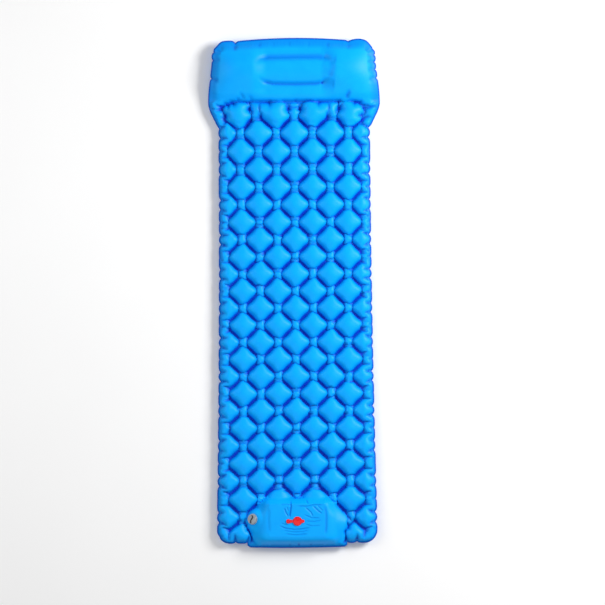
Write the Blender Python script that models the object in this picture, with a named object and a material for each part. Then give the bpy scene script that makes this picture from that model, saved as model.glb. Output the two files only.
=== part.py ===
"""Inflatable camping mat with a built-in pillow, foot pump and release valve.

Two coated fabric sheets are welded together on a lattice of short diagonal lines, so
that air puffs them up into diamonds. The head end is one large pillow cell. At the foot
end the sheets leave room for a pump: a pouch with a block of sponge, closed on top by a
panel that a foot presses down. The red inlet lets air into the pouch, a one-way valve in
the pouch's floor passes it on, and the grey valve on the pump's left slope lets it out.

+X is to the right of a person who looks at the mat from its foot, +Y points to the head
and +Z is up. The origin is on the floor under the middle of the mat.
"""

import math

import bmesh
import bpy
from mathutils import Matrix

MM = 0.001

# Driving dimensions, in millimetres.
LENGTH = 1900.0
PILLOW_HALF_WIDTH = 320.0
PILLOW_TAPER = 14.0
FLANK_Y = 600.0
WAIST_HALF_WIDTH = 287.0
WAIST_TAPER = 8.0
WAIST_BOW = 4.0
BAY_HALF_WIDTH = 178.0
SEAM_BAND = 8.0
SHEET = 1.0
WELD_GAP = 0.3
MAT_HEIGHT = 54.0
PILLOW_HEIGHT = 96.0
PUMP_HEIGHT = 72.0
KNOT_HEIGHT = 11.0
ROWS = 22
ROW_MIDDLE_Y = -119.4
ROW_REACH = 698.4
ROW_FLARE = 18.0
EDGE_COLUMN = 4.2
PILLOW_WELD_Y = 710.0
CORNER_Y = 933.0
CORNER_RADIUS = 42.0
PANEL_SIZE = (203.0, 115.0)
PANEL_CORNER = 14.0
PANEL_Y = -844.6
PANEL_GAP = 0.6
POUCH_FLOOR_Z = 28.0
POUCH_WALL = 1.0
SPONGE_MARGIN = 5.0
PUMP_TRAVEL = 28.0
INLET = (1.0, -848.7)
HINGE_OFFSET = 20.5
ANCHOR_OFFSET = 33.5
STUB_HALF_WIDTH = 5.4
TRANSFER = (62.0, -844.6)
RELEASE = (-166.0, -841.0, 49.5)
RELEASE_TILT = 35.0
RELEASE_PATCH = 42.0
CLEAR = 0.35
ROUND = 28

MID_Z = MAT_HEIGHT / 2
PILLOW_MID_Z = 46.0
HALF_LENGTH = LENGTH / 2
PANEL_TOP_Z = PUMP_HEIGHT
SPONGE_BOTTOM_Z = POUCH_FLOOR_Z + POUCH_WALL + 0.5


def smooth(t):
    """An S-shaped rise from 0 to 1."""
    t = min(1.0, max(0.0, t))
    return t * t * (3 - 2 * t)


# ---------------------------------------------------------------- scene helpers


def material(name, colour, roughness, metallic=0.0):
    made = bpy.data.materials.new(name)
    made.use_nodes = True
    shader = made.node_tree.nodes["Principled BSDF"]
    shader.inputs["Base Color"].default_value = (*colour, 1.0)
    shader.inputs["Roughness"].default_value = roughness
    shader.inputs["Metallic"].default_value = metallic
    return made


def add_object(name, bm, finish, parent=None, place=(0.0, 0.0, 0.0)):
    """An object in millimetres made from a bmesh, with its place under its parent."""
    bmesh.ops.scale(bm, vec=(MM, MM, MM), verts=bm.verts)
    bmesh.ops.recalc_face_normals(bm, faces=bm.faces)
    mesh = bpy.data.meshes.new(name)
    bm.to_mesh(mesh)
    bm.free()
    mesh.shade_smooth()
    mesh.set_sharp_from_angle(angle=math.radians(35))
    mesh.materials.append(finish)
    made = bpy.data.objects.new(name, mesh)
    bpy.context.scene.collection.objects.link(made)
    made.parent = parent
    made.location = [v * MM for v in place]
    return made


def add_empty(name, place, turn_y=0.0, parent=None):
    made = bpy.data.objects.new(name, None)
    bpy.context.scene.collection.objects.link(made)
    made.parent = parent
    made.location = [v * MM for v in place]
    made.rotation_euler = (0.0, math.radians(turn_y), 0.0)
    return made


def combine(target, tool, operation):
    """Cuts the tool from the target or joins it on, and keeps the tool out of the part."""
    tool.hide_render = True
    tool.display_type = "WIRE"
    modifier = target.modifiers.new(tool.name, "BOOLEAN")
    modifier.operation = operation
    modifier.object = tool
    modifier.solver = "EXACT"


# ---------------------------------------------------------------- shape helpers


def turned(profile, closed):
    """A profile of (radius, height) points spun round Z. A closed profile makes a ring."""
    bm = bmesh.new()
    points = [bm.verts.new((r, 0.0, z)) for r, z in profile]
    pairs = list(zip(points, points[1:]))
    if closed:
        pairs.append((points[-1], points[0]))
    edges = [bm.edges.new(pair) for pair in pairs]
    bmesh.ops.spin(
        bm,
        geom=points + edges,
        cent=(0, 0, 0),
        axis=(0, 0, 1),
        angle=math.tau,
        steps=ROUND,
        use_merge=True,
    )
    bmesh.ops.remove_doubles(bm, verts=bm.verts, dist=1e-4)
    return bm


def plate(outline, bottom, top):
    """A flat outline of (x, y) points as a plate from one height to another."""
    bm = bmesh.new()
    face = bm.faces.new([bm.verts.new((x, y, bottom)) for x, y in outline])
    raised = bmesh.ops.extrude_face_region(bm, geom=[face], use_keep_orig=True)
    lifted = [g for g in raised["geom"] if isinstance(g, bmesh.types.BMVert)]
    bmesh.ops.translate(bm, vec=(0, 0, top - bottom), verts=lifted)
    return bm


def rounded_rectangle(width, height, corner, steps=6):
    """The outline of a rectangle with round corners, anticlockwise, centred on 0, 0."""
    outline = []
    for quarter in range(4):
        across = (width / 2 - corner) * (1 if quarter in (0, 3) else -1)
        along = (height / 2 - corner) * (1 if quarter in (0, 1) else -1)
        for step in range(steps + 1):
            angle = math.pi / 2 * (quarter + step / steps)
            outline.append((across + corner * math.cos(angle), along + corner * math.sin(angle)))
    return outline


def circle(radius, steps=ROUND, centre=(0.0, 0.0)):
    angles = [math.tau * n / steps for n in range(steps)]
    return [(centre[0] + radius * math.cos(a), centre[1] + radius * math.sin(a)) for a in angles]


def tongue_reach(angle, half_width, length):
    """How far a ray from 0, 0 runs inside a round-ended tongue that points along +X."""
    across, along = abs(math.sin(angle)), math.cos(angle)
    if along <= 0:
        return 0.0
    side = half_width / across if across > 1e-9 else math.inf
    if side * along <= length - half_width:
        return side
    centre = length - half_width
    return centre * along + math.sqrt(half_width**2 - (centre * across) ** 2)


def pierced(target, name, radius, ring, count, bottom, top, parent=None, place=(0.0, 0.0, 0.0)):
    """Cuts a ring of round air holes through a web."""
    bm = bmesh.new()
    for n in range(count):
        angle = math.tau * n / count
        turn = Matrix.Translation((ring * math.cos(angle), ring * math.sin(angle), (bottom + top) / 2))
        bmesh.ops.create_cone(
            bm, cap_ends=True, segments=10, radius1=radius, radius2=radius, depth=top - bottom, matrix=turn
        )
    cutter = add_object(name, bm, AIR_CUTTER, parent, place)
    combine(target, cutter, "DIFFERENCE")


# ---------------------------------------------------------------- the welded lattice


def row_y(k):
    """The height of lattice row k on the mat. Rows lie a little further apart at both ends."""
    t = (2 * k - ROWS) / ROWS
    return ROW_MIDDLE_Y - ROW_REACH * t - ROW_FLARE * t**3


def row_at(y):
    """The lattice row at a height, found by halving."""
    low, high = -8.0, ROWS + 3.0
    for _ in range(40):
        middle = (low + high) / 2
        low, high = (middle, high) if row_y(middle) > y else (low, middle)
    return (low + high) / 2


def half_width(y):
    """Half the mat's width at a height, seam band included. The waist is the narrowest."""
    t = min((2 * row_at(y) - ROWS) / ROWS, 1.0)
    body = WAIST_HALF_WIDTH + WAIST_TAPER * t + WAIST_BOW * t**2
    pillow = PILLOW_HALF_WIDTH - PILLOW_TAPER * smooth((y - PILLOW_WELD_Y) / 170)
    return body + (pillow - body) * smooth((y - FLANK_Y) / (PILLOW_WELD_Y - FLANK_Y))


def foot_y(x):
    """The seam's inner line at the foot: the pump's bay stands out between two corner cells."""
    if abs(x) < BAY_HALF_WIDTH:
        return -(HALF_LENGTH - SEAM_BAND)
    return -(CORNER_Y - SEAM_BAND)


def round_corner(x, y):
    """Pulls a point near one of the mat's four corners in, so that the corner is round."""
    right = half_width(y) - SEAM_BAND
    end = (HALF_LENGTH if y > 0 else CORNER_Y) - SEAM_BAND
    over_x = abs(x) - (right - CORNER_RADIUS)
    over_y = abs(y) - (end - CORNER_RADIUS)
    if over_x <= 0 or over_y <= 0:
        return x, y
    share = max(over_x, over_y) / math.hypot(over_x, over_y)
    new_x = right - CORNER_RADIUS + over_x * share
    new_y = end - CORNER_RADIUS + over_y * share
    return math.copysign(new_x, x), math.copysign(new_y, y)


def middle_z(y):
    """The height of the plane of the welds. It climbs under the thicker pillow."""
    return MID_Z + (PILLOW_MID_Z - MID_Z) * smooth((y - PILLOW_WELD_Y + 20) / 110)


def pump_share(i, k):
    """The pump bay's bulge at a lattice point, from 0 on its welds to 1, or None outside it."""
    side = abs(i)
    if k < 21:
        inside = (k - 20 - abs(side - 1)) / math.sqrt(2)
    elif k < 22:
        inside = (k - 19 - side) / math.sqrt(2)
    elif k < 22.5:
        inside = (25 - k - side) / math.sqrt(2)
    else:
        inside = 2.5 - side
    if inside < 0 or k < 20:
        return None
    slope = math.sin(math.pi / 2 * min(1.0, max(0.0, 2.95 - side) / 0.95))
    notch = max(math.hypot(i, k - 21), 0.06)
    return min(slope, math.sqrt(min(1.0, inside / 0.25, notch / 0.25)))


def lattice_bulge(i, k):
    """How far a sheet stands off the welds at a lattice point: (share of a cell, knot or not)."""
    halves = (round(2 * i) % 2, round(2 * k) % 2)
    if halves == (1, 1):
        return 0.0, False
    if halves == (0, 0) and (round(i) + round(k)) % 2:
        return 1.0, True
    return (1.0 if halves == (0, 0) else 0.9), False


PILLOW_ROWS = (
    (688.0, 0.55),
    (PILLOW_WELD_Y, 0.0),
    (738.0, 0.72),
    (783.0, 0.94),
    (829.0, 1.0),
    (874.0, 0.94),
    (915.0, 0.72),
)


def pillow_share(i, y, share):
    """The pillow's bulge: short welds hold its lower edge, and two bowed welds its middle."""
    if y <= PILLOW_WELD_Y:
        if abs(i) > 3.4:
            return 0.45 if abs(i) < 3.9 else 0.6
        odd = round(2 * i) % 4 == 2
        return share + (0.22 if odd and share == 0 else 0.0)
    dip = 0.2 if y in (783.0, 874.0) and abs(i) <= 1.5 else 0.0
    return share * (1.0 if abs(i) < 3.6 else 0.75) - dip


def stations():
    """The rows of the sheet's grid from foot to head, as (lattice row or None, height, share)."""
    body = [n / 2 for n in range(-2, 2 * ROWS + 3)]
    rows = [(k, row_y(k), None) for k in sorted(body + [21.25], reverse=True)]
    rows.insert(0, (None, -HALF_LENGTH + SEAM_BAND, 0.0))
    rows += [(None, y, share) for y, share in PILLOW_ROWS]
    rows.append((None, HALF_LENGTH - SEAM_BAND, 0.0))
    return rows


def columns():
    inner = [n / 2 for n in range(-8, 9)]
    return [-EDGE_COLUMN, *inner, EDGE_COLUMN]


def stand_off(i, k, y, share, upper):
    """How far one sheet's inner side stands off the plane of the welds, in millimetres."""
    middle = middle_z(y)
    room = (PILLOW_HEIGHT - middle if y > PILLOW_WELD_Y else MAT_HEIGHT - middle) if upper else middle
    room -= SHEET + WELD_GAP / 2
    if abs(i) >= EDGE_COLUMN or (k is None and share == 0.0 and abs(y) > PILLOW_WELD_Y):
        return 0.0
    if k is None:
        found = pillow_share(i, y, share)
        if not upper and found > 0.6:
            return room
        tall = PILLOW_HEIGHT - PILLOW_MID_Z if y <= PILLOW_WELD_Y else room
        return min(max(found, 0.0) * tall, room if not upper else tall)
    pump = pump_share(i, k)
    if pump is not None:
        if not upper:
            return room if pump > 0.6 else room * pump
        return max(pump * (PUMP_HEIGHT - middle - SHEET - WELD_GAP / 2), 0.0)
    if k == 21.25:
        return 0.5 * room
    found, knot = lattice_bulge(i, k)
    if knot:
        return KNOT_HEIGHT
    if not upper and found > 0.5:
        return room
    return found * room


def on_release_patch(x, y, z):
    """The height of a point near the grey valve: the sheet lies flat where the valve is welded."""
    away = math.hypot(x - RELEASE[0], y - RELEASE[1])
    if away > RELEASE_PATCH:
        return z
    flat = RELEASE[2] + (x - RELEASE[0]) * math.tan(math.radians(RELEASE_TILT))
    return min(max(flat - SHEET - 0.5, middle_z(y) + WELD_GAP), PUMP_HEIGHT - SHEET)


def split_diagonally(bm, face):
    """Cuts a grid cell from its weld to its knot, or else across the crown of its diamond."""
    corners = list(face.verts)
    offs = [v.co.z for v in corners]
    weld = offs.index(min(offs))
    beside = min(offs[(weld + 1) % 4], offs[(weld + 3) % 4])
    start = weld if offs[(weld + 2) % 4] < beside else (weld + 1) % 4
    bmesh.utils.face_split(face, corners[start], corners[(start + 2) % 4])


def sheet_mesh(upper):
    """One fabric sheet: its grid of cells, its seam band and its thickness."""
    rows, cols = stations(), columns()
    bm = bmesh.new()
    bmesh.ops.create_grid(bm, x_segments=len(cols) - 1, y_segments=len(rows) - 1, size=1)
    bm.verts.ensure_lookup_table()
    ordered = sorted(bm.verts, key=lambda v: (round(v.co.y, 6), round(v.co.x, 6)))
    up = 1.0 if upper else -1.0
    heights = {}
    for n, vert in enumerate(ordered):
        k, y, share = rows[n // len(cols)]
        i = cols[n % len(cols)]
        x = i / EDGE_COLUMN * (half_width(y) - SEAM_BAND)
        if n // len(cols) == 0:
            y = foot_y(x)
        off = stand_off(i, k, y, share, upper)
        x, y = round_corner(x, y)
        z = middle_z(y) + up * (WELD_GAP / 2 + off)
        heights[vert] = on_release_patch(x, y, z) if upper else z
        vert.co = (x, y, off)
    for face in list(bm.faces):
        split_diagonally(bm, face)
    for vert, z in heights.items():
        vert.co.z = z
    rim = [edge for edge in bm.edges if edge.is_boundary]
    band = bmesh.ops.extrude_edge_only(bm, edges=rim)
    outer = [g for g in band["geom"] if isinstance(g, bmesh.types.BMVert)]
    for vert in outer:
        x, y = vert.co.x, vert.co.y
        end = (HALF_LENGTH if y > 0 else -foot_y(x) + SEAM_BAND) - SEAM_BAND
        inner_x = max(half_width(y) - SEAM_BAND - CORNER_RADIUS, 0)
        inner_y = end - CORNER_RADIUS
        away_x = max(abs(x) - inner_x, 0.0)
        away_y = max(abs(y) - inner_y, 0.0)
        if abs(x) < BAY_HALF_WIDTH + 22 and y < 0:
            away_x = 0.0
        size = max(math.hypot(away_x, away_y), 1e-6)
        vert.co.x += math.copysign(SEAM_BAND * away_x / size, x)
        vert.co.y += math.copysign(SEAM_BAND * away_y / size, y)
    raised = bmesh.ops.extrude_face_region(bm, geom=bm.faces[:], use_keep_orig=True)
    lifted = [g for g in raised["geom"] if isinstance(g, bmesh.types.BMVert)]
    bmesh.ops.translate(bm, vec=(0, 0, up * SHEET), verts=lifted)
    return bm


# ---------------------------------------------------------------- sub-parts


def release_hole(radius, depth):
    bm = turned([(0, -depth), (radius, -depth), (radius, depth), (0, depth)], closed=False)
    return bm


def build_sheets(valve_axis):
    lower = add_object("lower_sheet", sheet_mesh(upper=False), FABRIC)
    upper = add_object("upper_sheet", sheet_mesh(upper=True), FABRIC)
    width, height = PANEL_SIZE[0] + 2 * PANEL_GAP, PANEL_SIZE[1] + 2 * PANEL_GAP
    bay = plate(rounded_rectangle(width, height, PANEL_CORNER + PANEL_GAP), 45.0, 90.0)
    combine(upper, add_object("bay_cutter", bay, AIR_CUTTER, None, (0, PANEL_Y, 0)), "DIFFERENCE")
    hole = add_object("release_cutter", release_hole(20.9, 22.0), AIR_CUTTER, valve_axis)
    combine(upper, hole, "DIFFERENCE")
    return upper, lower


def build_pouch():
    """The inner pouch under the panel: a wall strip, and a floor with a hole for a valve."""
    width, height = PANEL_SIZE[0] + 2 * PANEL_GAP, PANEL_SIZE[1] + 2 * PANEL_GAP
    top = PUMP_HEIGHT - SHEET - CLEAR
    floor_top = POUCH_FLOOR_Z + POUCH_WALL
    place = (0, PANEL_Y, 0)
    outer = rounded_rectangle(width + 2 * POUCH_WALL, height + 2 * POUCH_WALL, PANEL_CORNER + 1.6)
    wall = add_object("pouch_wall", plate(outer, floor_top + CLEAR, top), FABRIC, None, place)
    inner = plate(rounded_rectangle(width, height, PANEL_CORNER + 0.6), POUCH_FLOOR_Z, 90.0)
    combine(wall, add_object("pouch_cutter", inner, AIR_CUTTER, None, place), "DIFFERENCE")
    floor = add_object("pouch_floor", plate(outer, POUCH_FLOOR_Z, floor_top), FABRIC, None, place)
    hole = plate(circle(10.4), 20.0, 40.0)
    cutter = add_object("transfer_cutter", hole, AIR_CUTTER, None, (*TRANSFER, 0))
    combine(floor, cutter, "DIFFERENCE")


def build_sponge():
    """The open-cell block that springs the pump back, with a well under the inlet."""
    size = (PANEL_SIZE[0] - 2 * SPONGE_MARGIN, PANEL_SIZE[1] - 2 * SPONGE_MARGIN)
    top = PANEL_TOP_Z - 1.2 - 0.5
    block = plate(rounded_rectangle(*size, PANEL_CORNER), SPONGE_BOTTOM_Z, top)
    sponge = add_object("pump_sponge", block, SPONGE, None, (0, PANEL_Y, 0))
    well = add_object("well_cutter", plate(circle(17.0), 20.0, 90.0), AIR_CUTTER, None, (*INLET, 0))
    combine(sponge, well, "DIFFERENCE")
    return sponge


def build_panel(pump):
    """The panel that a foot presses, with the hole that the inlet's neck passes through."""
    local = -PANEL_TOP_Z
    outline = rounded_rectangle(*PANEL_SIZE, PANEL_CORNER)
    place = (-INLET[0], PANEL_Y - INLET[1], local + PANEL_TOP_Z)
    panel = add_object("pump_panel", plate(outline, -1.2, 0.0), FABRIC, pump, place)
    hole = add_object("neck_cutter", plate(circle(11.3), -10.0, 10.0), AIR_CUTTER, pump)
    combine(panel, hole, "DIFFERENCE")
    return panel


def build_inlet(pump, hinge):
    """The red inlet: seat with a web, silicone flap, anchored strap and the cap that swings up."""
    seat = [
        (7.6, 1.5), (16.7, 1.5), (17.2, 1.0), (17.2, CLEAR), (10.9, CLEAR), (10.9, -10.0),
        (9.9, -10.0), (9.9, -6.0), (1.6, -6.0), (1.6, -4.6), (7.6, -4.6),
    ]
    seat_object = add_object("inlet_seat", turned(seat, closed=True), RED, pump)
    pierced(seat_object, "inlet_web_cutter", 1.7, 4.7, 6, -8.0, -3.0, pump)
    flap = [(0, -7.3), (7.9, -7.1), (8.2, -6.7), (7.9, -6.35), (1.1, -6.35), (1.1, -4.2), (0, -4.2)]
    add_object("inlet_flap", turned(flap, closed=False), SILICONE, pump)
    anchor = [(0, CLEAR), (7.2, CLEAR), (7.2, 1.2), (3.0, 1.2), (3.0, 3.9), (4.8, 3.9), (4.1, 4.8), (0, 4.8)]
    add_object("inlet_anchor", turned(anchor, closed=False), RED, pump, (-ANCHOR_OFFSET, 0, 0))
    strap_end = HINGE_OFFSET + CLEAR
    strap = strap_outline(8.2, STUB_HALF_WIDTH, -ANCHOR_OFFSET, -strap_end)
    strap_object = add_object("inlet_strap", plate(strap, 1.7, 3.3), RED, pump)
    eyelet = add_object("eyelet_cutter", plate(circle(3.4), 0.0, 6.0), AIR_CUTTER, pump, (-ANCHOR_OFFSET, 0, 0))
    combine(strap_object, eyelet, "DIFFERENCE")

    cap_plate = plate(cap_outline(), -1.6, 0.0)
    cap = add_object("inlet_cap", cap_plate, RED, hinge, (HINGE_OFFSET, 0, 0))
    crown = [(0, -1.4), (15.9, -1.4), (15.9, 0.6), (14.9, 1.5), (0, 1.9)]
    crown_object = add_object("crown_join", turned(crown, closed=False), RED, hinge, (HINGE_OFFSET, 0, 0))
    combine(cap, crown_object, "UNION")
    plug = [(0, -6.6), (6.2, -6.6), (6.9, -5.6), (7.0, -1.0), (0, -1.0)]
    plug_object = add_object("plug_join", turned(plug, closed=False), RED, hinge, (HINGE_OFFSET, 0, 0))
    combine(cap, plug_object, "UNION")


def strap_outline(pad_radius, half_waist, pad_x, end_x):
    """A round pad with a narrower tongue that runs to the living hinge at end_x."""
    meet = math.asin(half_waist / pad_radius)
    steps = 24
    turn = [meet + (math.tau - 2 * meet) * n / steps for n in range(steps + 1)]
    pad = [(pad_x + pad_radius * math.cos(a), pad_radius * math.sin(a)) for a in turn]
    return [*pad, (end_x, -half_waist), (end_x, half_waist)]


def cap_outline():
    """The cap's plate seen from above: a disc, a pull tab to the right and a stub to the hinge."""
    outline = []
    steps = 72
    stub = HINGE_OFFSET - CLEAR
    for n in range(steps):
        angle = math.tau * (n + 0.5) / steps
        reach = max(15.6, tongue_reach(angle, 6.2, 26.5))
        across, along = abs(math.sin(angle)), -math.cos(angle)
        if along > 0 and across / along <= STUB_HALF_WIDTH / stub:
            reach = max(reach, stub / along)
        outline.append((reach * math.cos(angle), reach * math.sin(angle)))
    return outline


def build_transfer_valve():
    """The one-way valve in the pouch's floor: a seat with a web, and a silicone flap below it."""
    centre = add_empty("transfer_axis", (*TRANSFER, POUCH_FLOOR_Z))
    seat = [
        (8.0, 1.3), (10.0, 1.3), (10.0, -CLEAR), (14.0, -CLEAR), (14.0, -1.5), (10.0, -1.5),
        (10.0, -7.5), (8.8, -7.5), (8.8, -3.5), (1.5, -3.5), (1.5, -2.2), (8.0, -2.2),
    ]
    seat_object = add_object("transfer_seat", turned(seat, closed=True), CLEAR_PLASTIC, centre)
    pierced(seat_object, "transfer_web_cutter", 1.8, 4.9, 6, -5.0, -1.0, centre)
    flap = [(0, -4.7), (7.6, -4.5), (7.9, -4.15), (7.6, -3.85), (1.0, -3.85), (1.0, -1.8), (0, -1.8)]
    add_object("transfer_flap", turned(flap, closed=False), SILICONE, centre)


def build_release_valve(axis):
    """The grey valve: welded base, pull-out insert with its seal and flap, and the turning cap."""
    base = [(12.6, 0.0), (19.9, 0.0), (20.5, -0.8), (20.5, -2.0), (14.8, -2.0), (14.8, -10.7), (12.6, -10.7)]
    add_object("release_base", turned(base, closed=True), GREY_PLASTIC, axis)
    insert = [
        (9.1, 3.0), (15.2, 3.0), (15.6, 2.6), (15.6, 1.6), (12.2, 1.6), (12.2, -10.2), (9.1, -10.2),
        (9.1, -6.9), (1.6, -6.9), (1.6, -5.5), (9.1, -5.5),
    ]
    insert_object = add_object("release_insert", turned(insert, closed=True), CLEAR_PLASTIC, axis)
    pierced(insert_object, "release_web_cutter", 2.0, 5.4, 6, -8.5, -4.5, axis)
    seal = [(12.8, CLEAR), (14.4, CLEAR), (14.7, 0.8), (14.4, 1.25), (12.8, 1.25), (12.6, 0.8)]
    add_object("release_seal", turned(seal, closed=True), SILICONE, axis)
    flap = [(0, -8.4), (7.9, -8.1), (8.2, -7.7), (7.9, -7.25), (1.1, -7.25), (1.1, -5.1), (0, -5.1)]
    add_object("release_flap", turned(flap, closed=False), SILICONE, axis)
    cap = [
        (0, -3.6), (8.2, -3.6), (8.7, -3.0), (8.7, 3.3), (18.2, 3.3), (19.0, 4.1),
        (19.0, 5.3), (18.2, 6.1), (0, 6.1),
    ]
    add_object("release_cap", turned(cap, closed=False), GREY_PLASTIC, axis)
    grip = plate(wave_outline(15.0, 3.6, 1.5), 6.1 + CLEAR, 8.6)
    add_object("release_grip", grip, BLACK_RUBBER, axis)


def wave_outline(reach, swing, half_rib):
    """The outline of an S-shaped finger rib across the cap."""
    steps = 24
    middle = []
    for n in range(steps + 1):
        t = -1 + 2 * n / steps
        middle.append((swing * math.sin(math.pi * t) + 0.16 * reach * t, reach * t, t))
    left, right = [], []
    for x, y, t in middle:
        slope_x = swing * math.pi * math.cos(math.pi * t) + 0.16 * reach
        size = math.hypot(slope_x, reach)
        left.append((x - half_rib * reach / size, y + half_rib * slope_x / size))
        right.append((x + half_rib * reach / size, y - half_rib * slope_x / size))
    return right + left[::-1]


def main():
    pump = add_empty("pump_axis", (*INLET, PANEL_TOP_Z))
    hinge = add_empty("cap_hinge_axis", (-HINGE_OFFSET, 0, 3.3), parent=pump)
    valve = add_empty("release_axis", RELEASE, -RELEASE_TILT)
    build_sheets(valve)
    build_pouch()
    build_sponge()
    build_panel(pump)
    build_inlet(pump, hinge)
    build_transfer_valve()
    build_release_valve(valve)


for old in list(bpy.data.objects):
    bpy.data.objects.remove(old, do_unlink=True)

FABRIC = material("coated_nylon", (0.0, 0.33, 0.95), 0.45)
SPONGE = material("sponge", (0.85, 0.8, 0.6), 0.95)
RED = material("red_moulding", (0.8, 0.01, 0.01), 0.3)
GREY_PLASTIC = material("grey_plastic", (0.35, 0.36, 0.38), 0.35)
CLEAR_PLASTIC = material("milky_plastic", (0.7, 0.72, 0.74), 0.3)
SILICONE = material("silicone", (0.8, 0.8, 0.78), 0.5)
BLACK_RUBBER = material("black_rubber", (0.02, 0.02, 0.025), 0.6)
AIR_CUTTER = material("cutter", (1.0, 0.5, 0.0), 0.5)
main()
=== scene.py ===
"""Looks for the inflatable camping mat: inflated fabric, foot pump, red inlet and grey valve.

Lengths are in millimetres in the named values and meshes below. They become metres in
add_piece() and for the simulation. The floor and the lamps are in metres throughout.
Lattice coordinates (i, k) count half columns to the right and rows towards the foot:
diamonds are centred where i + k is even, and knots lie where i + k is odd.
"""

import math

import bmesh
import bpy
import numpy as np
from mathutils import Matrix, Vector


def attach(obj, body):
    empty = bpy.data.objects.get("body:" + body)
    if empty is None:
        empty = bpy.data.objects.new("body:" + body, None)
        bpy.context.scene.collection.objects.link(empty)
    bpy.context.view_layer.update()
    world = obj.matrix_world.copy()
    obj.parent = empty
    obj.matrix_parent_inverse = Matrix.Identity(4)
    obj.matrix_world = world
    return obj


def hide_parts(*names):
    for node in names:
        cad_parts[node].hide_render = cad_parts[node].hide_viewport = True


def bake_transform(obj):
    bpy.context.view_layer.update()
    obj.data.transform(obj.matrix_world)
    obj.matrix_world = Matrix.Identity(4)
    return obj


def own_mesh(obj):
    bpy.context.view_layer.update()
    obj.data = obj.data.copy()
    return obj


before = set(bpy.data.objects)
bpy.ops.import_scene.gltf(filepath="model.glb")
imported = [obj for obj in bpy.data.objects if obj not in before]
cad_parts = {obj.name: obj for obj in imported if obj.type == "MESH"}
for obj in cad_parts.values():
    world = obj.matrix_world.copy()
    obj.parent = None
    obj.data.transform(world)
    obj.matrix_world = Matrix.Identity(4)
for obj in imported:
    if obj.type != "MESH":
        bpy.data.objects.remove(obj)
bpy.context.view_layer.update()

MM = 0.001

# ---------------------------------------------------------------- sizes, in millimetres

LENGTH = 1900.0
HALF_LENGTH = LENGTH / 2
SEAM_BAND = 7.0
ROWS = 22
ROW_MIDDLE_Y = -119.4
ROW_REACH = 698.4
ROW_FLARE = 18.0
WAIST_HALF_WIDTH = 287.0
WAIST_TAPER = 8.0
WAIST_BOW = 4.0
PILLOW_HALF_WIDTH = 320.0
PILLOW_TAPER = 14.0
PILLOW_WELD_Y = 710.0
FLANK_Y = 600.0
BAY_HALF_WIDTH = 178.0
CORNER_Y = 933.0
CORNER_RADIUS = 42.0
HEAD_BOW = 10.0
BOW_REACH = 210.0
LOBE_X = 240.0
LOBE_END_X = 262.0
HEAD_NOTCHES = (-217.0, 203.0)
BODY_PLANE_Z = 27.0
PILLOW_PLANE_Z = 46.0
PUMP_TOP_Z = 72.0
PANEL_HALF_SIZE = (101.5, 57.5)
PANEL_Y = -844.6
PANEL_SKIN_Z = 71.7

# The fabric's grid has this many steps to a lattice unit, and reaches these lattice rows.
FINENESS = 12
EDGE_STEPS = 51
HEAD_STEP = -59
FOOT_STEP = 282
EDGE = EDGE_STEPS / FINENESS
HEAD_ROW = HEAD_STEP / FINENESS
FOOT_ROW = FOOT_STEP / FINENESS
GRID_SHAPE = (FOOT_STEP - HEAD_STEP + 1, 2 * EDGE_STEPS + 1)
WELD_FROM = 0.21


def smooth(t):
    """An S-shaped rise from 0 to 1."""
    t = np.clip(t, 0.0, 1.0)
    return t * t * (3 - 2 * t)


def bump(distance, width):
    """A bell that is 1 at no distance and fades out over a width."""
    return np.exp(-((distance / width) ** 2))


# ---------------------------------------------------------------- the mat's plan


def row_y(k):
    """The place of a lattice row along the mat. Rows lie a little further apart at both ends."""
    t = (2 * k - ROWS) / ROWS
    return ROW_MIDDLE_Y - ROW_REACH * t - ROW_FLARE * t**3


def row_share(y):
    """The inverse of row_y as a share from -1 at the first row to 1 at the last."""
    ks = np.linspace(FOOT_ROW + 2, HEAD_ROW - 2, 600)
    return (2 * np.interp(y, row_y(ks), ks) - ROWS) / ROWS


def inner_half_width(y):
    """Half the width between the two long seams' inner lines."""
    t = np.minimum(row_share(y), 1.0)
    body = WAIST_HALF_WIDTH + WAIST_TAPER * t + WAIST_BOW * t**2
    pillow = PILLOW_HALF_WIDTH - PILLOW_TAPER * smooth((y - PILLOW_WELD_Y) / 170)
    return body + (pillow - body) * smooth((y - FLANK_Y) / (PILLOW_WELD_Y - FLANK_Y)) - SEAM_BAND


def column_pitch(y):
    """Half the distance between the diamonds of one row. Columns spread towards the pillow."""
    t = row_share(y)
    head = np.clip(-t, 0.0, 1.2)
    return 65.5 + 1.5 * np.clip(t, -1.2, 1.2) ** 2 + 2.0 * head**8


def middle_z(y):
    """The height of the plane of the welds. It climbs under the thicker pillow."""
    rise = smooth((y - PILLOW_WELD_Y + 20) / 110)
    return BODY_PLANE_Z + (PILLOW_PLANE_Z - BODY_PLANE_Z) * rise


def head_y(x):
    """The head seam: a long shallow bow between two notches, and a lobe at each corner."""
    bow = -HEAD_BOW * (np.minimum(np.abs(x), BOW_REACH) / BOW_REACH) ** 2
    lobe = 2.0 * bump(np.abs(x) - LOBE_X, 22) + 4.0 * bump(x - LOBE_X, 25)
    lobe -= 9.0 * smooth((np.abs(x) - LOBE_END_X) / 30)
    notch = -9.0 * bump(x - HEAD_NOTCHES[0], 7) - 5.0 * bump(x - HEAD_NOTCHES[1], 7)
    return HALF_LENGTH - SEAM_BAND + bow + lobe + notch


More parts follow.
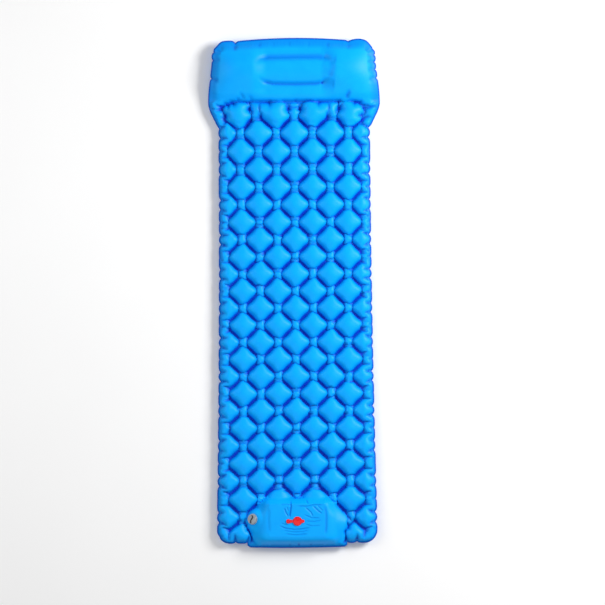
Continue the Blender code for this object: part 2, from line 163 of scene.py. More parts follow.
def foot_y(x):
    """The foot seam: the pump's bay stands out between two corner cells."""
    bay = -(HALF_LENGTH - SEAM_BAND) + 3.0 * (np.abs(x) / BAY_HALF_WIDTH) ** 2
    corner = -(CORNER_Y - SEAM_BAND)
    step = smooth((np.abs(x) - BAY_HALF_WIDTH) / 10)
    notch = 8.0 * bump(np.abs(x) - BAY_HALF_WIDTH - 7, 5) + 6.0 * bump(np.abs(x + 4) - 226, 7)
    return bay + (corner - bay) * step + notch


# Where the pillow's seams are drawn in, left (-1) and right (1).
PILLOW_NOTCHES = {-1: (897.0, 868.0, 800.0), 1: (905.0, 884.0, 858.0, 830.0, 798.0)}


def side_notches(y, side):
    """How far the long seams are drawn in where the edge cells meet, in millimetres."""
    t = row_share(y)
    row = (t * ROWS + ROWS) / 2
    phase = 0.0 if side < 0 else 1.7
    knot = np.abs((row + 1) % 2 - 1)
    depth = 6.5 + 2.0 * np.sin(row * 2.3 + phase)
    body = depth * bump(knot - 0.27, 0.13)
    body += (2.2 + 1.8 * np.sin(row * 1.7 + 2 * phase)) * bump(knot - 1.0, 0.1)
    pillow = 0.0
    for place in PILLOW_NOTCHES[side]:
        pillow = pillow + 6.0 * bump(y - place, 6)
    share = smooth((y - 640) / 30)
    return body * (1 - share) + pillow * share


def round_corner(x, y, right, end):
    """Pulls points near one of the mat's four corners in, so that the corner is round."""
    over_x = np.abs(x) - (right - CORNER_RADIUS)
    over_y = np.abs(y) - (end - CORNER_RADIUS)
    inside = (over_x > 0) & (over_y > 0)
    size = np.where(inside, np.hypot(over_x, over_y), 1.0)
    share = np.where(inside, np.maximum(over_x, over_y) / size, 1.0)
    new_x = np.where(inside, right - CORNER_RADIUS + over_x * share, np.abs(x))
    new_y = np.where(inside, end - CORNER_RADIUS + over_y * share, np.abs(y))
    return np.copysign(new_x, x), np.copysign(new_y, y)


def plan_of(i, k):
    """The flat place (x, y) of lattice points on the mat, outline and notches included."""
    y = row_y(k)
    inner = inner_half_width(y)
    pitch = np.minimum(column_pitch(y), inner / EDGE + 2.0)
    core = 3.4
    rim = pitch * core + (np.abs(i) - core) / (EDGE - core) * (inner - pitch * core)
    x = np.copysign(np.where(np.abs(i) < core, np.abs(i) * pitch, rim), i)
    top, bottom = row_y(HEAD_ROW), row_y(FOOT_ROW)
    y = y + smooth((y - 800) / (top - 800)) * (head_y(x) - top)
    y = y + smooth((-850 - y) / (-850 - bottom)) * (foot_y(x) - bottom)
    end = np.where(y > 0, head_y(x), -foot_y(x))
    x, y = round_corner(x, y, inner, end)
    for side in (-1, 1):
        from_seam = inner - side * x
        drawn = side_notches(y, side) * np.exp(-np.maximum(from_seam, 0) / 22)
        x = x - side * np.where(side * x > 0, drawn, 0.0)
    return x, y


# ---------------------------------------------------------------- the welds


def on_lattice_weld(i, k):
    """True on the short diagonal welds along the diamonds' sides, clear of knots and pump."""
    found = np.zeros(i.shape, bool)
    for way in (1, -1):
        line = i + way * k
        odd = np.round((line - 1) / 2) * 2 + 1
        on_line = np.abs(line - odd) < 1.01 / FINENESS
        along = i - np.floor(i)
        middle_i = np.floor(i) + 0.5
        middle_k = np.floor(k) + 0.5
        welded = (along > WELD_FROM) & (along < 1 - WELD_FROM)
        in_bay = (np.abs(middle_i) < 3) & (middle_k > 21 + (np.abs(middle_i) > 2))
        beyond = (middle_k > 23) | (middle_k < -1)
        found |= on_line & welded & ~in_bay & ~beyond
    return found


def near_segment(i, k, start, end, reach):
    """True within a reach of the line between two lattice points."""
    along = np.array(end) - np.array(start)
    t = ((i - start[0]) * along[0] + (k - start[1]) * along[1]) / (along @ along)
    t = np.clip(t, 0, 1)
    return np.hypot(i - start[0] - t * along[0], k - start[1] - t * along[1]) < reach


# The welds below the pillow, as lattice points: three across, one curved at each end.
PILLOW_WELDS = (
    ((-0.5, -1.67), (0.5, -1.67)),
    ((1.25, -1.67), (2.2, -1.67)),
    ((-2.15, -1.67), (-1.25, -1.67)),
    ((2.95, -1.67), (3.45, -1.5)),
    ((3.45, -1.5), (3.6, -1.25)),
    ((-2.95, -1.67), (-3.55, -1.5)),
    ((-3.55, -1.5), (-3.75, -1.25)),
    ((3.55, -0.95), (3.72, -0.55)),
    ((-3.6, -0.95), (-3.72, -0.6)),
    ((0.28, -1.33), (0.28, -1.25)),
    ((-0.28, -1.33), (-0.28, -1.25)),
    ((2.28, -1.33), (2.28, -1.25)),
    ((-2.28, -1.33), (-2.28, -1.25)),
)
# The welds that shape the pump's bay beside the corner cells.
BAY_WELDS = (
    ((-2.92, 22.25), (-2.5, 23.15)),
    ((3.2, 22.15), (2.65, 22.8)),
    ((2.65, 22.8), (2.68, 23.2)),
)


def is_welded(i, k):
    """True where the two sheets are welded together, and along the seams."""
    found = on_lattice_weld(i, k)
    for start, end in PILLOW_WELDS + BAY_WELDS:
        found |= near_segment(i, k, start, end, 0.06)
    return found


def is_seam(i, k):
    """True along the outline."""
    rim = 0.25 / FINENESS
    return (np.abs(i) > EDGE - rim) | (k < HEAD_ROW + rim) | (k > FOOT_ROW - rim)


# ---------------------------------------------------------------- inflating the fabric

BODY_RISE = 27.0
PILLOW_RISE = 50.0
BAY_RISE = PUMP_TOP_Z - BODY_PLANE_Z
BODY_SLACK = -0.27
PILLOW_SLACK = -0.10
PRESSURE = 300.0
PILLOW_PRESSURE = 0.22
BAY_PRESSURE = 0.35
BAY_SLACK_SHARE = 0.6
FRAMES = 16
PILLOW_PASSES = 220
BAY_PASSES = 70
CELL_PASSES = 14
CUSHION_PASSES = 6
# How far the pump's cushion reaches past its panel to the sides, the head and the foot.
CUSHION_REACH = (32.0, 24.0, 42.0)
CUSHION_SPREAD = 28.0
CUSHION_SPREAD_Y = -790.0


def bay_depth(i, k):
    """How far inside the pump's bay a lattice point lies, in lattice units."""
    side = np.abs(i)
    peaks = (k - 20 - np.abs(side - 1)) / math.sqrt(2)
    shoulder = (k - 19 - side) / math.sqrt(2)
    flank = (25 - k - side) / math.sqrt(2)
    depth = np.where(k < 21, peaks, np.where(k < 22, shoulder, np.minimum(flank, 3.0 - side)))
    return np.where(k < 20, -1.0, np.maximum(depth, np.where(k > 22, 2.65 - side, -1.0)))


def pillow_depth(i, y):
    """How far inside the pillow's cell a place lies, in millimetres. Its flanks reach lower."""
    flank = (np.abs(i) - 3.62) * 70
    return np.where(y > PILLOW_WELD_Y, y - PILLOW_WELD_Y, np.where(y > 640, flank, -30.0))


def flat_fabric():
    """The uninflated fabric as a bmesh whose vertices hold lattice steps in x and y."""
    bm = bmesh.new()
    rows = FOOT_STEP - HEAD_STEP
    bmesh.ops.create_grid(bm, x_segments=2 * EDGE_STEPS, y_segments=rows, size=0.5)
    for vert in bm.verts:
        vert.co.x = round(vert.co.x * 2 * EDGE_STEPS)
        vert.co.y = round((vert.co.y + 0.5) * rows) + HEAD_STEP
    for face in list(bm.faces):
        even = [v for v in face.verts if round(v.co.x + v.co.y) % 2 == 0]
        bmesh.utils.face_split(face, even[0], even[1])
    return bm


def points_of(mesh):
    """A mesh's points as rows of x, y and z."""
    found = np.zeros(len(mesh.vertices) * 3)
    mesh.vertices.foreach_get("co", found)
    return found.reshape(-1, 3)


def set_points(mesh, points):
    """Moves a mesh's points."""
    mesh.vertices.foreach_set("co", points.ravel())
    mesh.update()


def weight_group(obj, name, weights):
    """A vertex group from one weight for each vertex."""
    group = obj.vertex_groups.new(name=name)
    for value in np.unique(np.round(weights, 2)):
        chosen = np.nonzero(np.abs(weights - value) < 0.0051)[0]
        if value > 0:
            group.add(chosen.tolist(), float(value), "REPLACE")


def inflate(obj, pins, pressure, slack):
    """Blows the flat fabric up between its welds with a cloth simulation."""
    weight_group(obj, "pins", pins)
    weight_group(obj, "pressure", pressure)
    weight_group(obj, "slack", slack)
    cloth = obj.modifiers.new("inflation", "CLOTH")
    values = {
        "quality": 8,
        "mass": 0.02,
        "air_damping": 1.0,
        "tension_stiffness": 80.0,
        "compression_stiffness": 0.1,
        "shear_stiffness": 0.5,
        "bending_stiffness": 0.1,
        "tension_damping": 5.0,
        "compression_damping": 5.0,
        "shear_damping": 5.0,
        "bending_damping": 0.5,
        "vertex_group_mass": "pins",
        "use_pressure": True,
        "uniform_pressure_force": PRESSURE,
        "vertex_group_pressure": "pressure",
        "shrink_min": BODY_SLACK,
        "shrink_max": PILLOW_SLACK,
        "vertex_group_shrink": "slack",
    }
    for name, value in values.items():
        setattr(cloth.settings, name, value)
    cloth.settings.effector_weights.gravity = 0.0
    cloth.collision_settings.use_collision = False
    for step in range(1, FRAMES + 1):
        bpy.context.scene.frame_set(step)
    graph = bpy.context.evaluated_depsgraph_get()
    blown = bpy.data.meshes.new_from_object(obj.evaluated_get(graph))
    found = points_of(blown)
    obj.modifiers.clear()
    obj.vertex_groups.clear()
    bpy.data.meshes.remove(blown)
    bpy.context.scene.frame_set(1)
    return found


def softened(grid, passes):
    """Evens out a grid of values with its neighbours, a number of times."""
    for _ in range(passes):
        wide = np.pad(grid, 1, mode="edge")
        beside = wide[1:-1, :-2] + wide[1:-1, 2:] + wide[:-2, 1:-1] + wide[2:, 1:-1]
        grid = grid / 2 + beside / 8
    return grid


class Fabric:
    """The inflated mat's skin: lattice places, its flat plan and its blown-up points."""

    def __init__(self):
        """Lays the fabric out flat, blows it up, evens it out and fills the pump's bay."""
        bm = flat_fabric()
        steps = np.array([tuple(vert.co) for vert in bm.verts])
        self.i, self.k = steps[:, 0] / FINENESS, steps[:, 1] / FINENESS
        self.order = np.lexsort((self.i, self.k))
        x, y = plan_of(self.i, self.k)
        self.plane = middle_z(y)
        flat = np.stack([x, y, self.plane], 1)
        for vert, place in zip(bm.verts, flat, strict=True):
            vert.co = place
        self.outward = outward_directions(bm)
        self.mesh = bpy.data.meshes.new("flat_fabric")
        bm.to_mesh(self.mesh)
        bm.free()
        if self.mesh.polygons[0].normal.z < 0:
            self.mesh.flip_normals()
        self.welded = is_welded(self.i, self.k)
        self.seam = is_seam(self.i, self.k)
        self.bay_inner = bay_depth(self.i, self.k)
        self.in_bay = np.minimum(self.bay_inner, FOOT_ROW - self.k)
        self.in_pillow = pillow_depth(self.i, y)
        self.points = flat
        self.blow_up()
        self.even_out(x, y)
        self.under = self.points.copy()
        self.raise_pump()

    def smoothed_inside(self, share, passes):
        """Evens the points out by a share for each, in the fabric's own grid."""
        for axis in range(3):
            grid = self.points[self.order, axis].reshape(GRID_SHAPE)
            part = share[self.order].reshape(GRID_SHAPE)
            even = grid + (softened(grid, passes) - grid) * part
            self.points[self.order, axis] = even.ravel()

    def blow_up(self):
        """The inflated points, from the simulation."""
        pressure = np.where(self.in_bay > 0, BAY_PRESSURE, 1.0)
        pressure = np.where(self.in_pillow > 0, PILLOW_PRESSURE, pressure)
        slack = np.where(self.in_bay > 0, BAY_SLACK_SHARE, 0.0)
        slack = np.where(self.in_pillow > 0, 1.0, slack)
        pins = (self.welded | self.seam).astype(float)
        blown = self.mesh.copy()
        set_points(blown, self.points * MM)
        pad = bpy.data.objects.new("inflating", blown)
        bpy.context.scene.collection.objects.link(pad)
        self.points = inflate(pad, pins, pressure, slack) / MM
        bpy.data.objects.remove(pad)

    def even_out(self, x, y):
        """Sets each kind of cell's height and takes the stiff folds out of the large ones."""
        seam = np.minimum(inner_half_width(y) - np.abs(x), head_y(x) - y)
        depth = np.minimum(self.in_pillow, seam)
        share = smooth((depth + 1) / 15) * smooth((y - PILLOW_WELD_Y + 10) / 30)
        share[self.seam | self.welded] = 0.0
        self.smoothed_inside(share, PILLOW_PASSES)
        self.smoothed_inside(self.bay_share(8, 40), BAY_PASSES)
        off_row = np.abs(np.round(self.k) - self.k)
        even = (np.round(self.i) + np.round(self.k)) % 2 == 0
        reach = np.abs(np.round(self.i) - self.i) + off_row
        plain = even & (self.in_bay <= 0) & (self.in_pillow <= 0) & (np.abs(self.i) < 3.7)
        plain &= (self.k > -0.7) & (self.k < 22.7)
        share = np.where(plain, smooth((0.6 - reach) / 0.35), 0.0)
        self.smoothed_inside(share, CELL_PASSES)
        rise = self.points[:, 2] - self.plane
        body = (self.in_bay <= 0) & (self.in_pillow <= 0)
        factor = np.full(len(rise), BODY_RISE / np.percentile(rise[body], 99.5))
        for inside, reach, target in (
            (self.in_pillow, 40.0, PILLOW_RISE),
            (self.in_bay, 0.5, BAY_RISE),
        ):
            own = target / np.percentile(rise[inside > 0], 99.5)
            factor += (own - factor) * smooth(inside / reach)
        self.points[:, 2] = self.plane + rise * factor

    def bay_share(self, start, ramp):
        """How much of the bay's shape is given in place of the simulated one, in millimetres in from
        its welds.
        """
        foot = smooth(((FOOT_ROW - self.k) * 65 - 1) / 14)
        peaks = smooth((self.k - 20.5) / 0.9)
        share = smooth((self.bay_inner * 65 - start) / ramp) * foot * peaks
        share[self.seam | self.welded] = 0.0
        return share

    def raise_pump(self):
        """Fills the bay up to the pump's panel, like a cushion that stands round its pouch."""
        x, y, z = self.points.T
        wide = CUSHION_REACH[0] + CUSHION_SPREAD * smooth((CUSHION_SPREAD_Y - y) / 50)
        across = np.maximum(np.abs(x) - PANEL_HALF_SIZE[0], 0) / wide
        off = y - PANEL_Y
        reach = np.where(off > 0, CUSHION_REACH[1], CUSHION_REACH[2])
        along = np.maximum(np.abs(off) - PANEL_HALF_SIZE[1], 0) / reach
        share = np.sqrt(np.maximum(1 - across**2 - along**2, 0))
        cushion = BODY_PLANE_Z + (PANEL_SKIN_Z - BODY_PLANE_Z) * share
        inside = self.bay_share(6, 20)
        self.points[:, 2] = z + np.maximum(cushion - z, 0) * inside
        self.smoothed_inside(inside, CUSHION_PASSES)

    def skin(self, points):
        """A bmesh of the fabric at these points, with each vertex's outward direction."""
        bm = bmesh.new()
        bm.from_mesh(self.mesh)
        away = bm.verts.layers.float_vector.new("outward")
        for vert, place, direction in zip(bm.verts, points, self.outward, strict=True):
            vert.co = place
            vert[away] = direction
        return bm


def outward_directions(bm):
    """The direction out of the flat outline at each of its vertices, and none elsewhere."""
    found = np.zeros((len(bm.verts), 3))
    bm.verts.index_update()
    for edge in bm.edges:
        if edge.is_boundary:
            start, end = edge.verts
            middle = (start.co + end.co) / 2
            inside = edge.link_faces[0].calc_center_median()
            across = Vector((end.co.y - start.co.y, start.co.x - end.co.x, 0.0))
            if across.dot(middle - inside) < 0:
                across.negate()
            for vert in edge.verts:
                found[vert.index] += across.normalized()
    size = np.linalg.norm(found, axis=1, keepdims=True)
    return found / np.maximum(size, 1e-9)


# ---------------------------------------------------------------- details of the inflated skin

SEAM_LIFT = 0.3
# RIM_MARK flags the seam band's vertices. The band is navy, partly the welded layers' own darker
# colour and partly painted shade; SEAM_SHADE is the painted shade on the seam's inner line.
RIM_MARK = 2.0
SEAM_SHADE = 0.35
PANEL_SHOULDER = 9.0
PILLOW_HOLLOW = 13.0
# CREASE_SHADE: how much painted shade a crease adds to the fabric's colour.
CREASE_SHADE = 0.45
BAY_CREASE_DEPTH = 1.25
SLOPE_OUTER_X = 139.5
SLOPE_FOOT_Y = -938.0
SLOPE_HEAD_Y = -767.0
INLET = (1.0, -848.7)
INLET_HOLE = 14.0
RELEASE = Vector((-166.0, -841.0, 49.5))
RELEASE_AXIS = Vector((-0.573576, 0.0, 0.819152))
RELEASE_HOLE = 17.5

# Creases as (points, depth, half width), each also painted with shade along its length. The pillow's
# long oval hollow comes first.
PILLOW_CREASES = (
    (((-136, 862), (-122, 872), (-96, 878), (0, 879), (84, 879), (116, 874), (134, 862)), 8.0, 11.0),
    (((134, 866), (142, 838), (130, 802)), 3.0, 14.0),
    (((-128, 800), (-108, 786), (-80, 779), (0, 777), (78, 778), (106, 783), (128, 800)), 7.0, 8.0),
    (((106, 876), (160, 866)), 3.2, 17.0),
    (((98, 782), (152, 776)), 3.2, 17.0),
    (((-200, 746), (-186, 722)), 5.0, 5.0),
    (((-168, 738), (-156, 716)), 4.0, 5.0),
    (((205, 752), (196, 724)), 6.0, 5.0),
    (((-214, 728), (-196, 714), (-170, 708)), 6.0, 6.0),
)
# The pump panel's wrinkles, laid out the same way, with painted shade along them too.
BAY_CREASES = (
    (((-24, -772), (-23, -796), (-27, -824), (-28, -836)), 3.4, 2.6),
    (((-62, -788), (-40, -786), (-24, -790)), 1.6, 3.0),
    (((-48, -800), (-42, -818), (-33, -832)), 2.2, 2.6),
    (((-38, -795), (-34, -812)), 1.6, 2.4),
    (((33, -770), (41, -784)), 2.6, 2.6),
    (((0, -794), (34, -795), (66, -789), (96, -790)), 1.8, 3.0),
    (((58, -792), (78, -812), (92, -822)), 2.0, 2.8),
    (((30, -798), (50, -816), (58, -832)), 2.0, 2.6),
    (((74, -791), (96, -812)), 1.4, 2.4),
    (((26, -826), (54, -838), (84, -838)), 1.8, 2.6),
    (((32, -850), (64, -852), (90, -846)), 1.6, 2.4),
    (((30, -862), (56, -868), (86, -866)), 1.6, 2.4),
    (((-60, -856), (-46, -862), (-34, -862)), 1.4, 2.4),
    (((-68, -866), (-44, -876), (-10, -881), (26, -878), (52, -872)), 2.2, 2.8),
    (((-52, -884), (-14, -890), (20, -889), (44, -882)), 1.8, 2.6),
    (((-44, -897), (-4, -901), (38, -897)), 1.8, 3.0),
    (((104, -792), (108, -830), (107, -870), (104, -898)), 2.4, 5.0),
    (((-104, -800), (-107, -840), (-104, -890)), 1.2, 6.0),
)


def groove(x, y, line, depth, half_width):
    """How deep a crease along a line of points is at each place. Its ends run out."""
    steps = [math.dist(a, b) for a, b in zip(line, line[1:])]
    total = sum(steps)
    near = np.full(len(x), 1e9)
    along = np.zeros(len(x))
    passed = 0.0
    for start, end, step in zip(line, line[1:], steps):
        run = ((x - start[0]) * (end[0] - start[0]) + (y - start[1]) * (end[1] - start[1]))
        t = np.clip(run / step**2, 0, 1)
        off = np.hypot(x - start[0] - t * (end[0] - start[0]), y - start[1] - t * (end[1] - start[1]))
        closer = off < near
        near = np.where(closer, off, near)
        along = np.where(closer, passed + t * step, along)
        passed += step
    ends = smooth(np.minimum(along, total - along) / (0.22 * total) + 0.25)
    return depth * bump(near, half_width) * ends


def refine(bm, inside):
    """Halves the mesh where the small creases go."""
    edges = {e for f in bm.faces if inside(f.calc_center_median()) for e in f.edges}
    bmesh.ops.subdivide_edges(bm, edges=list(edges), cuts=1, smooth=0.6, use_grid_fill=True)
    bmesh.ops.triangulate(bm, faces=[f for f in bm.faces if len(f.verts) > 3])


def in_pillow_middle(p):
    """True where the pillow's oval hollow is."""
    return abs(p.x) < 165 and 750 < p.y < 900


def in_pump_bay(p):
    """True where the pump's wrinkles are."""
    return abs(p.x) < 150 and -930 < p.y < -757


def shape_details(bm):
    """Presses the creases into the skin and paints shade along them, and fits it to the pump's panel
    and grey valve.
    """
    refine(bm, in_pillow_middle)
    refine(bm, in_pump_bay)
    refine(bm, in_pump_bay)
    points = np.array([tuple(vert.co) for vert in bm.verts])
    x, y, z = points.T.copy()
    flat = smooth((PANEL_HALF_SIZE[0] + PANEL_SHOULDER - np.abs(x)) / PANEL_SHOULDER)
    flat *= smooth((PANEL_HALF_SIZE[1] + PANEL_SHOULDER - np.abs(y - PANEL_Y)) / PANEL_SHOULDER)
    z += (PANEL_SKIN_Z - z) * flat
    hollow = (1 - smooth((np.abs(x) - 98) / 62)) * smooth((y - 722) / 45)
    z -= PILLOW_HOLLOW * hollow * smooth((938 - y) / 40)
    # This layer holds painted shade along the creases, for the fabric's colour.
    painted_crease_shade = bm.verts.layers.float.new("crease")
    crease = np.zeros(len(x))
    for line, depth, half_width in PILLOW_CREASES:
        sunk = groove(x, y, line, depth, half_width)
        z -= sunk
        crease = np.maximum(crease, sunk / 8.0)
    clear = smooth((np.hypot(x - INLET[0], y - INLET[1]) - 22) / 8)
    for line, depth, half_width in BAY_CREASES:
        sunk = groove(x, y, line, depth, half_width) * clear
        z -= sunk * BAY_CREASE_DEPTH
        crease = np.maximum(crease, sunk / 3.4)
    points = np.stack([x, y, z], 1)
    local = points - np.array(RELEASE)
    axis = np.array(RELEASE_AXIS)
    height = local @ axis
    radius = np.linalg.norm(local - height[:, None] * axis, axis=1)
    near = (1 - smooth((radius - 23) / 20)) * (np.abs(height) < 40)
    points += (near * (-0.9 - height))[:, None] * axis
    for vert, place, amount in zip(bm.verts, points, crease, strict=True):
        vert.co = place
        vert[painted_crease_shade] = amount * CREASE_SHADE


def add_seam_band(bm, side):
    """Grows the flat welded band round the outline, and closes its rim. Side is 1 or -1."""
    away = bm.verts.layers.float_vector["outward"]
    rim = [edge for edge in bm.edges if edge.is_boundary]
    for width, lift in ((SEAM_BAND, SEAM_LIFT), (0.0, 0.0)):
        grown = bmesh.ops.extrude_edge_only(bm, edges=rim)["geom"]
        fresh = [g for g in grown if isinstance(g, bmesh.types.BMVert)]
        for vert in fresh:
            vert.co += Vector(vert[away]).normalized() * width
            vert.co.z = float(middle_z(np.array(vert.co.y))) + side * lift
            # The mark's length flags the band for its navy colour, partly painted shade.
            vert[away] = Vector(vert[away]).normalized() * RIM_MARK
        rim = [g for g in grown if isinstance(g, bmesh.types.BMEdge)]
    return fresh


PIERCE_REACH = 25.0


def pierce(bm, centre, axis, radius):
    """Opens a round hole in the skin about an axis, with an even edge."""

    def off_axis(place):
        """From the axis straight out to a place."""
        away = place - centre
        return away - axis * away.dot(axis)

    gone = []
    for face in bm.faces:
        middle = face.calc_center_median()
        if abs((middle - centre).dot(axis)) < PIERCE_REACH and off_axis(middle).length < radius:
            gone.append(face)
    rim = {e for f in gone for e in f.edges}
    bmesh.ops.delete(bm, geom=gone, context="FACES")
    for vert in {v for e in rim if e.is_valid and e.is_boundary for v in e.verts}:
        out = off_axis(vert.co)
        vert.co += out * (radius / out.length - 1)


def neighbour_mean(values, ends):
    """The mean of each vertex's neighbours, for values of one or more columns."""
    count = np.bincount(ends.ravel(), minlength=len(values))
    total = np.zeros_like(values)
    for column in range(values.shape[1]):
        for one, other in ((0, 1), (1, 0)):
            told = values[ends[:, other], column]
            total[:, column] += np.bincount(ends[:, one], told, len(values))
    return total / np.maximum(count, 1)[:, None]


# A groove's painted shade: how many rings of neighbours it is told from, the depths where it
# starts and is full, and how much it is strengthened.
SHADE_REACH = 5
SHADE_FROM = 0.2
SHADE_DEPTH = 2.6
SHADE_GAIN = 1.25
SHADE_PASSES = 2


def cavity_shade(mesh):
    """How deep in a groove each vertex lies, from 0 on the open skin to 1 in a weld: painted shade for
    the fabric's colour.
    """
    points = points_of(mesh)
    normals = np.zeros(len(points) * 3)
    mesh.vertex_normals.foreach_get("vector", normals)
    ends = np.zeros(len(mesh.edges) * 2, int)
    mesh.edges.foreach_get("vertices", ends)
    ends = ends.reshape(-1, 2)
    mean = points.copy()
    for _ in range(SHADE_REACH):
        mean = neighbour_mean(mean, ends)
    sunk = ((mean - points) * normals.reshape(-1, 3)).sum(1)
    shade = smooth((sunk - SHADE_FROM) / SHADE_DEPTH)[:, None]
    for _ in range(SHADE_PASSES):
        shade = 0.5 * shade + 0.5 * neighbour_mean(shade, ends)
    return np.clip(SHADE_GAIN * shade[:, 0], 0, 1)


# ---------------------------------------------------------------- materials


def linear(hex_colour):
    """An sRGB hex colour as a linear one."""
    parts = [int(hex_colour[n : n + 2], 16) / 255 for n in (1, 3, 5)]
    found = [c / 12.92 if c <= 0.04045 else ((c + 0.055) / 1.055) ** 2.4 for c in parts]
    return (*found, 1.0)


# A colour mix's sockets share their names with its other mixes, so they go by number.
MIX_FACTOR, MIX_FIRST, MIX_SECOND, MIX_RESULT = 0, 6, 7, 2


def add_node(tree, kind, settings=None, inputs=None):
    """A node with its settings, and inputs that hold a value or follow another node's output."""
    node = tree.nodes.new("ShaderNode" + kind)
    for name, value in (settings or {}).items():
        setattr(node, name, value)
    for name, value in (inputs or {}).items():
        if isinstance(value, bpy.types.NodeSocket):
            tree.links.new(value, node.inputs[name])
        else:
            node.inputs[name].default_value = value
    return node


def new_material(name, values):
    """A material with a shader whose own sockets hold these values."""
    made = bpy.data.materials.new(name)
    made.use_nodes = True
    shader = made.node_tree.nodes["Principled BSDF"]
    for socket, value in values.items():
        shader.inputs[socket].default_value = value
    return made, made.node_tree, shader


# How many times broader than the grain a material's cloudy patches are.
PATCH_SPREAD = 14


def per_metre(size_mm):
    """A pattern's scale on object coordinates from the size of one of its features."""
    return 1000.0 / size_mm


def surface_grain(tree, shader, colours, grain_mm, depth_mm, roughness):
    """Mottles a colour, and gives a fine bump and an uneven polish. Returns tint and bump."""
    place = add_node(tree, "TexCoord").outputs["Object"]
    scale = {"Vector": place, "Scale": per_metre(grain_mm), "Detail": 3.0}
    grain = add_node(tree, "TexNoise", {}, scale)
    broad = {"Vector": place, "Scale": per_metre(grain_mm * PATCH_SPREAD), "Detail": 2.0}
    patches = add_node(tree, "TexNoise", {}, broad).outputs["Fac"]
    first, second = [linear(colour) for colour in colours]
    mix = {MIX_FACTOR: patches, MIX_FIRST: first, MIX_SECOND: second}
    tint = add_node(tree, "Mix", {"data_type": "RGBA"}, mix).outputs[MIX_RESULT]
    polish = {"Value": patches, "To Min": roughness[0], "To Max": roughness[1]}
    polished = add_node(tree, "MapRange", {}, polish).outputs["Result"]
    height = {"Height": grain.outputs["Fac"], "Strength": 0.5, "Distance": depth_mm * MM}
    bumped = add_node(tree, "Bump", {}, height).outputs["Normal"]
    for socket, source in (("Base Color", tint), ("Roughness", polished), ("Normal", bumped)):
        tree.links.new(source, shader.inputs[socket])
    return tint, bumped


THREAD_MM = 2.4
THREAD_DEPTH_MM = 0.12
FABRIC_BLUE = "#00A0FF"
# A slightly paler blue, mixed into the base blue in random patches.
FABRIC_BLUE_PALE = "#00ACFF"
# The deep navy that the painted shade mixes into the blue, in grooves, welds, creases and along the
# seam band.
FABRIC_PAINTED_SHADE = "#0030BE"


def coated_nylon():
    """TPU-coated nylon: a saturated blue with a soft gloss. Painted shade turns it a deeper navy in
    the grooves, welds and creases.

    The real weave is near 0.2 mm, too fine to show, so it is drawn at THREAD_MM.
    """
    values = {"IOR": 1.5, "Specular IOR Level": 0.13, "Sheen Weight": 0.0}
    made, tree, shader = new_material("tpu_coated_nylon", values)
    blues = (FABRIC_BLUE, FABRIC_BLUE_PALE)
    tint, grain = surface_grain(tree, shader, blues, 3.0, 0.1, (0.36, 0.46))
    # Painted shade: the shade attribute darkens the blue towards navy in grooves, welds, creases and
    # the seam band.
    shade = add_node(tree, "Attribute", {"attribute_name": "shade"}).outputs["Fac"]
    mix = {MIX_FACTOR: shade, MIX_FIRST: tint, MIX_SECOND: linear(FABRIC_PAINTED_SHADE)}
    dark = add_node(tree, "Mix", {"data_type": "RGBA"}, mix).outputs[MIX_RESULT]
    tree.links.new(dark, shader.inputs["Base Color"])
    place = add_node(tree, "TexCoord").outputs["Object"]
    threads = []
    for direction in ("X", "Y"):
        settings = {"wave_type": "BANDS", "bands_direction": direction}
        inputs = {"Vector": place, "Scale": per_metre(THREAD_MM) / 20 * math.tau, "Distortion": 0.4}
        threads.append(add_node(tree, "TexWave", settings, inputs).outputs["Fac"])
    weave = add_node(tree, "Math", {"operation": "MULTIPLY"}, dict(enumerate(threads)))
    height = {
        "Height": weave.outputs["Value"],
        "Strength": 0.5,
        "Distance": THREAD_DEPTH_MM * MM,
        "Normal": grain,
    }
    woven = add_node(tree, "Bump", {}, height).outputs["Normal"]
    tree.links.new(woven, shader.inputs["Normal"])
    return made


def moulded(name, colours, grain_mm, depth_mm, roughness, **values):
    """A moulded plastic or rubber with a fine surface texture."""
    sockets = {key.replace("_", " "): value for key, value in values.items()}
    made, tree, shader = new_material(name, sockets)
    surface_grain(tree, shader, colours, grain_mm, depth_mm, roughness)
    return made


# Soft PVC, injection moulded: a wet-looking gloss over a pure red.
RED_PVC = moulded(
    "glossy_soft_pvc", ("#DC0008", "#F0020E"), 0.8, 0.03, (0.2, 0.28), IOR=1.45, Coat_Weight=0.1
)
# Frosted ABS: a cloudy light grey that glints along its edges.
FROSTED_ABS = moulded(
    "frosted_abs", ("#8E969C", "#C4CBD0"), 0.7, 0.05, (0.22, 0.42), IOR=1.53, Coat_Weight=0.3
)
# Natural polypropylene: milky, a little translucent and waxy.
MILKY_PP = moulded(
    "milky_polypropylene",
    ("#D8DDE0", "#E8ECEE"),
    0.8,
    0.04,
    (0.35, 0.5),
    IOR=1.49,
    Subsurface_Weight=0.2,
)
# Cast silicone: pale, soft and nearly matt.
SILICONE = moulded("cast_silicone", ("#D2D0C8", "#E0DED8"), 0.9, 0.04, (0.5, 0.62), IOR=1.41)
# Black TPE: a dull dark grip.
BLACK_TPE = moulded("black_tpe", ("#0A0A0C", "#17171A"), 0.5, 0.05, (0.5, 0.66), IOR=1.5)
# Reticulated polyurethane foam: open cells of about 2 mm and no shine.
FOAM = moulded("open_cell_foam", ("#D9CFA6", "#EDE6C8"), 2.0, 1.2, (0.9, 0.98), IOR=1.4)
FABRIC = coated_nylon()

NODE_FINISHES = {
    RED_PVC: ("inlet_seat", "inlet_anchor", "inlet_strap", "inlet_cap"),
    FROSTED_ABS: ("release_base", "release_cap"),
    MILKY_PP: ("release_insert", "transfer_seat"),
    SILICONE: ("inlet_flap", "transfer_flap", "release_flap", "release_seal"),
    BLACK_TPE: ("release_grip",),
}
for finish, names in NODE_FINISHES.items():
    for name in names:
        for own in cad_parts[name].material_slots:
            own.material = finish


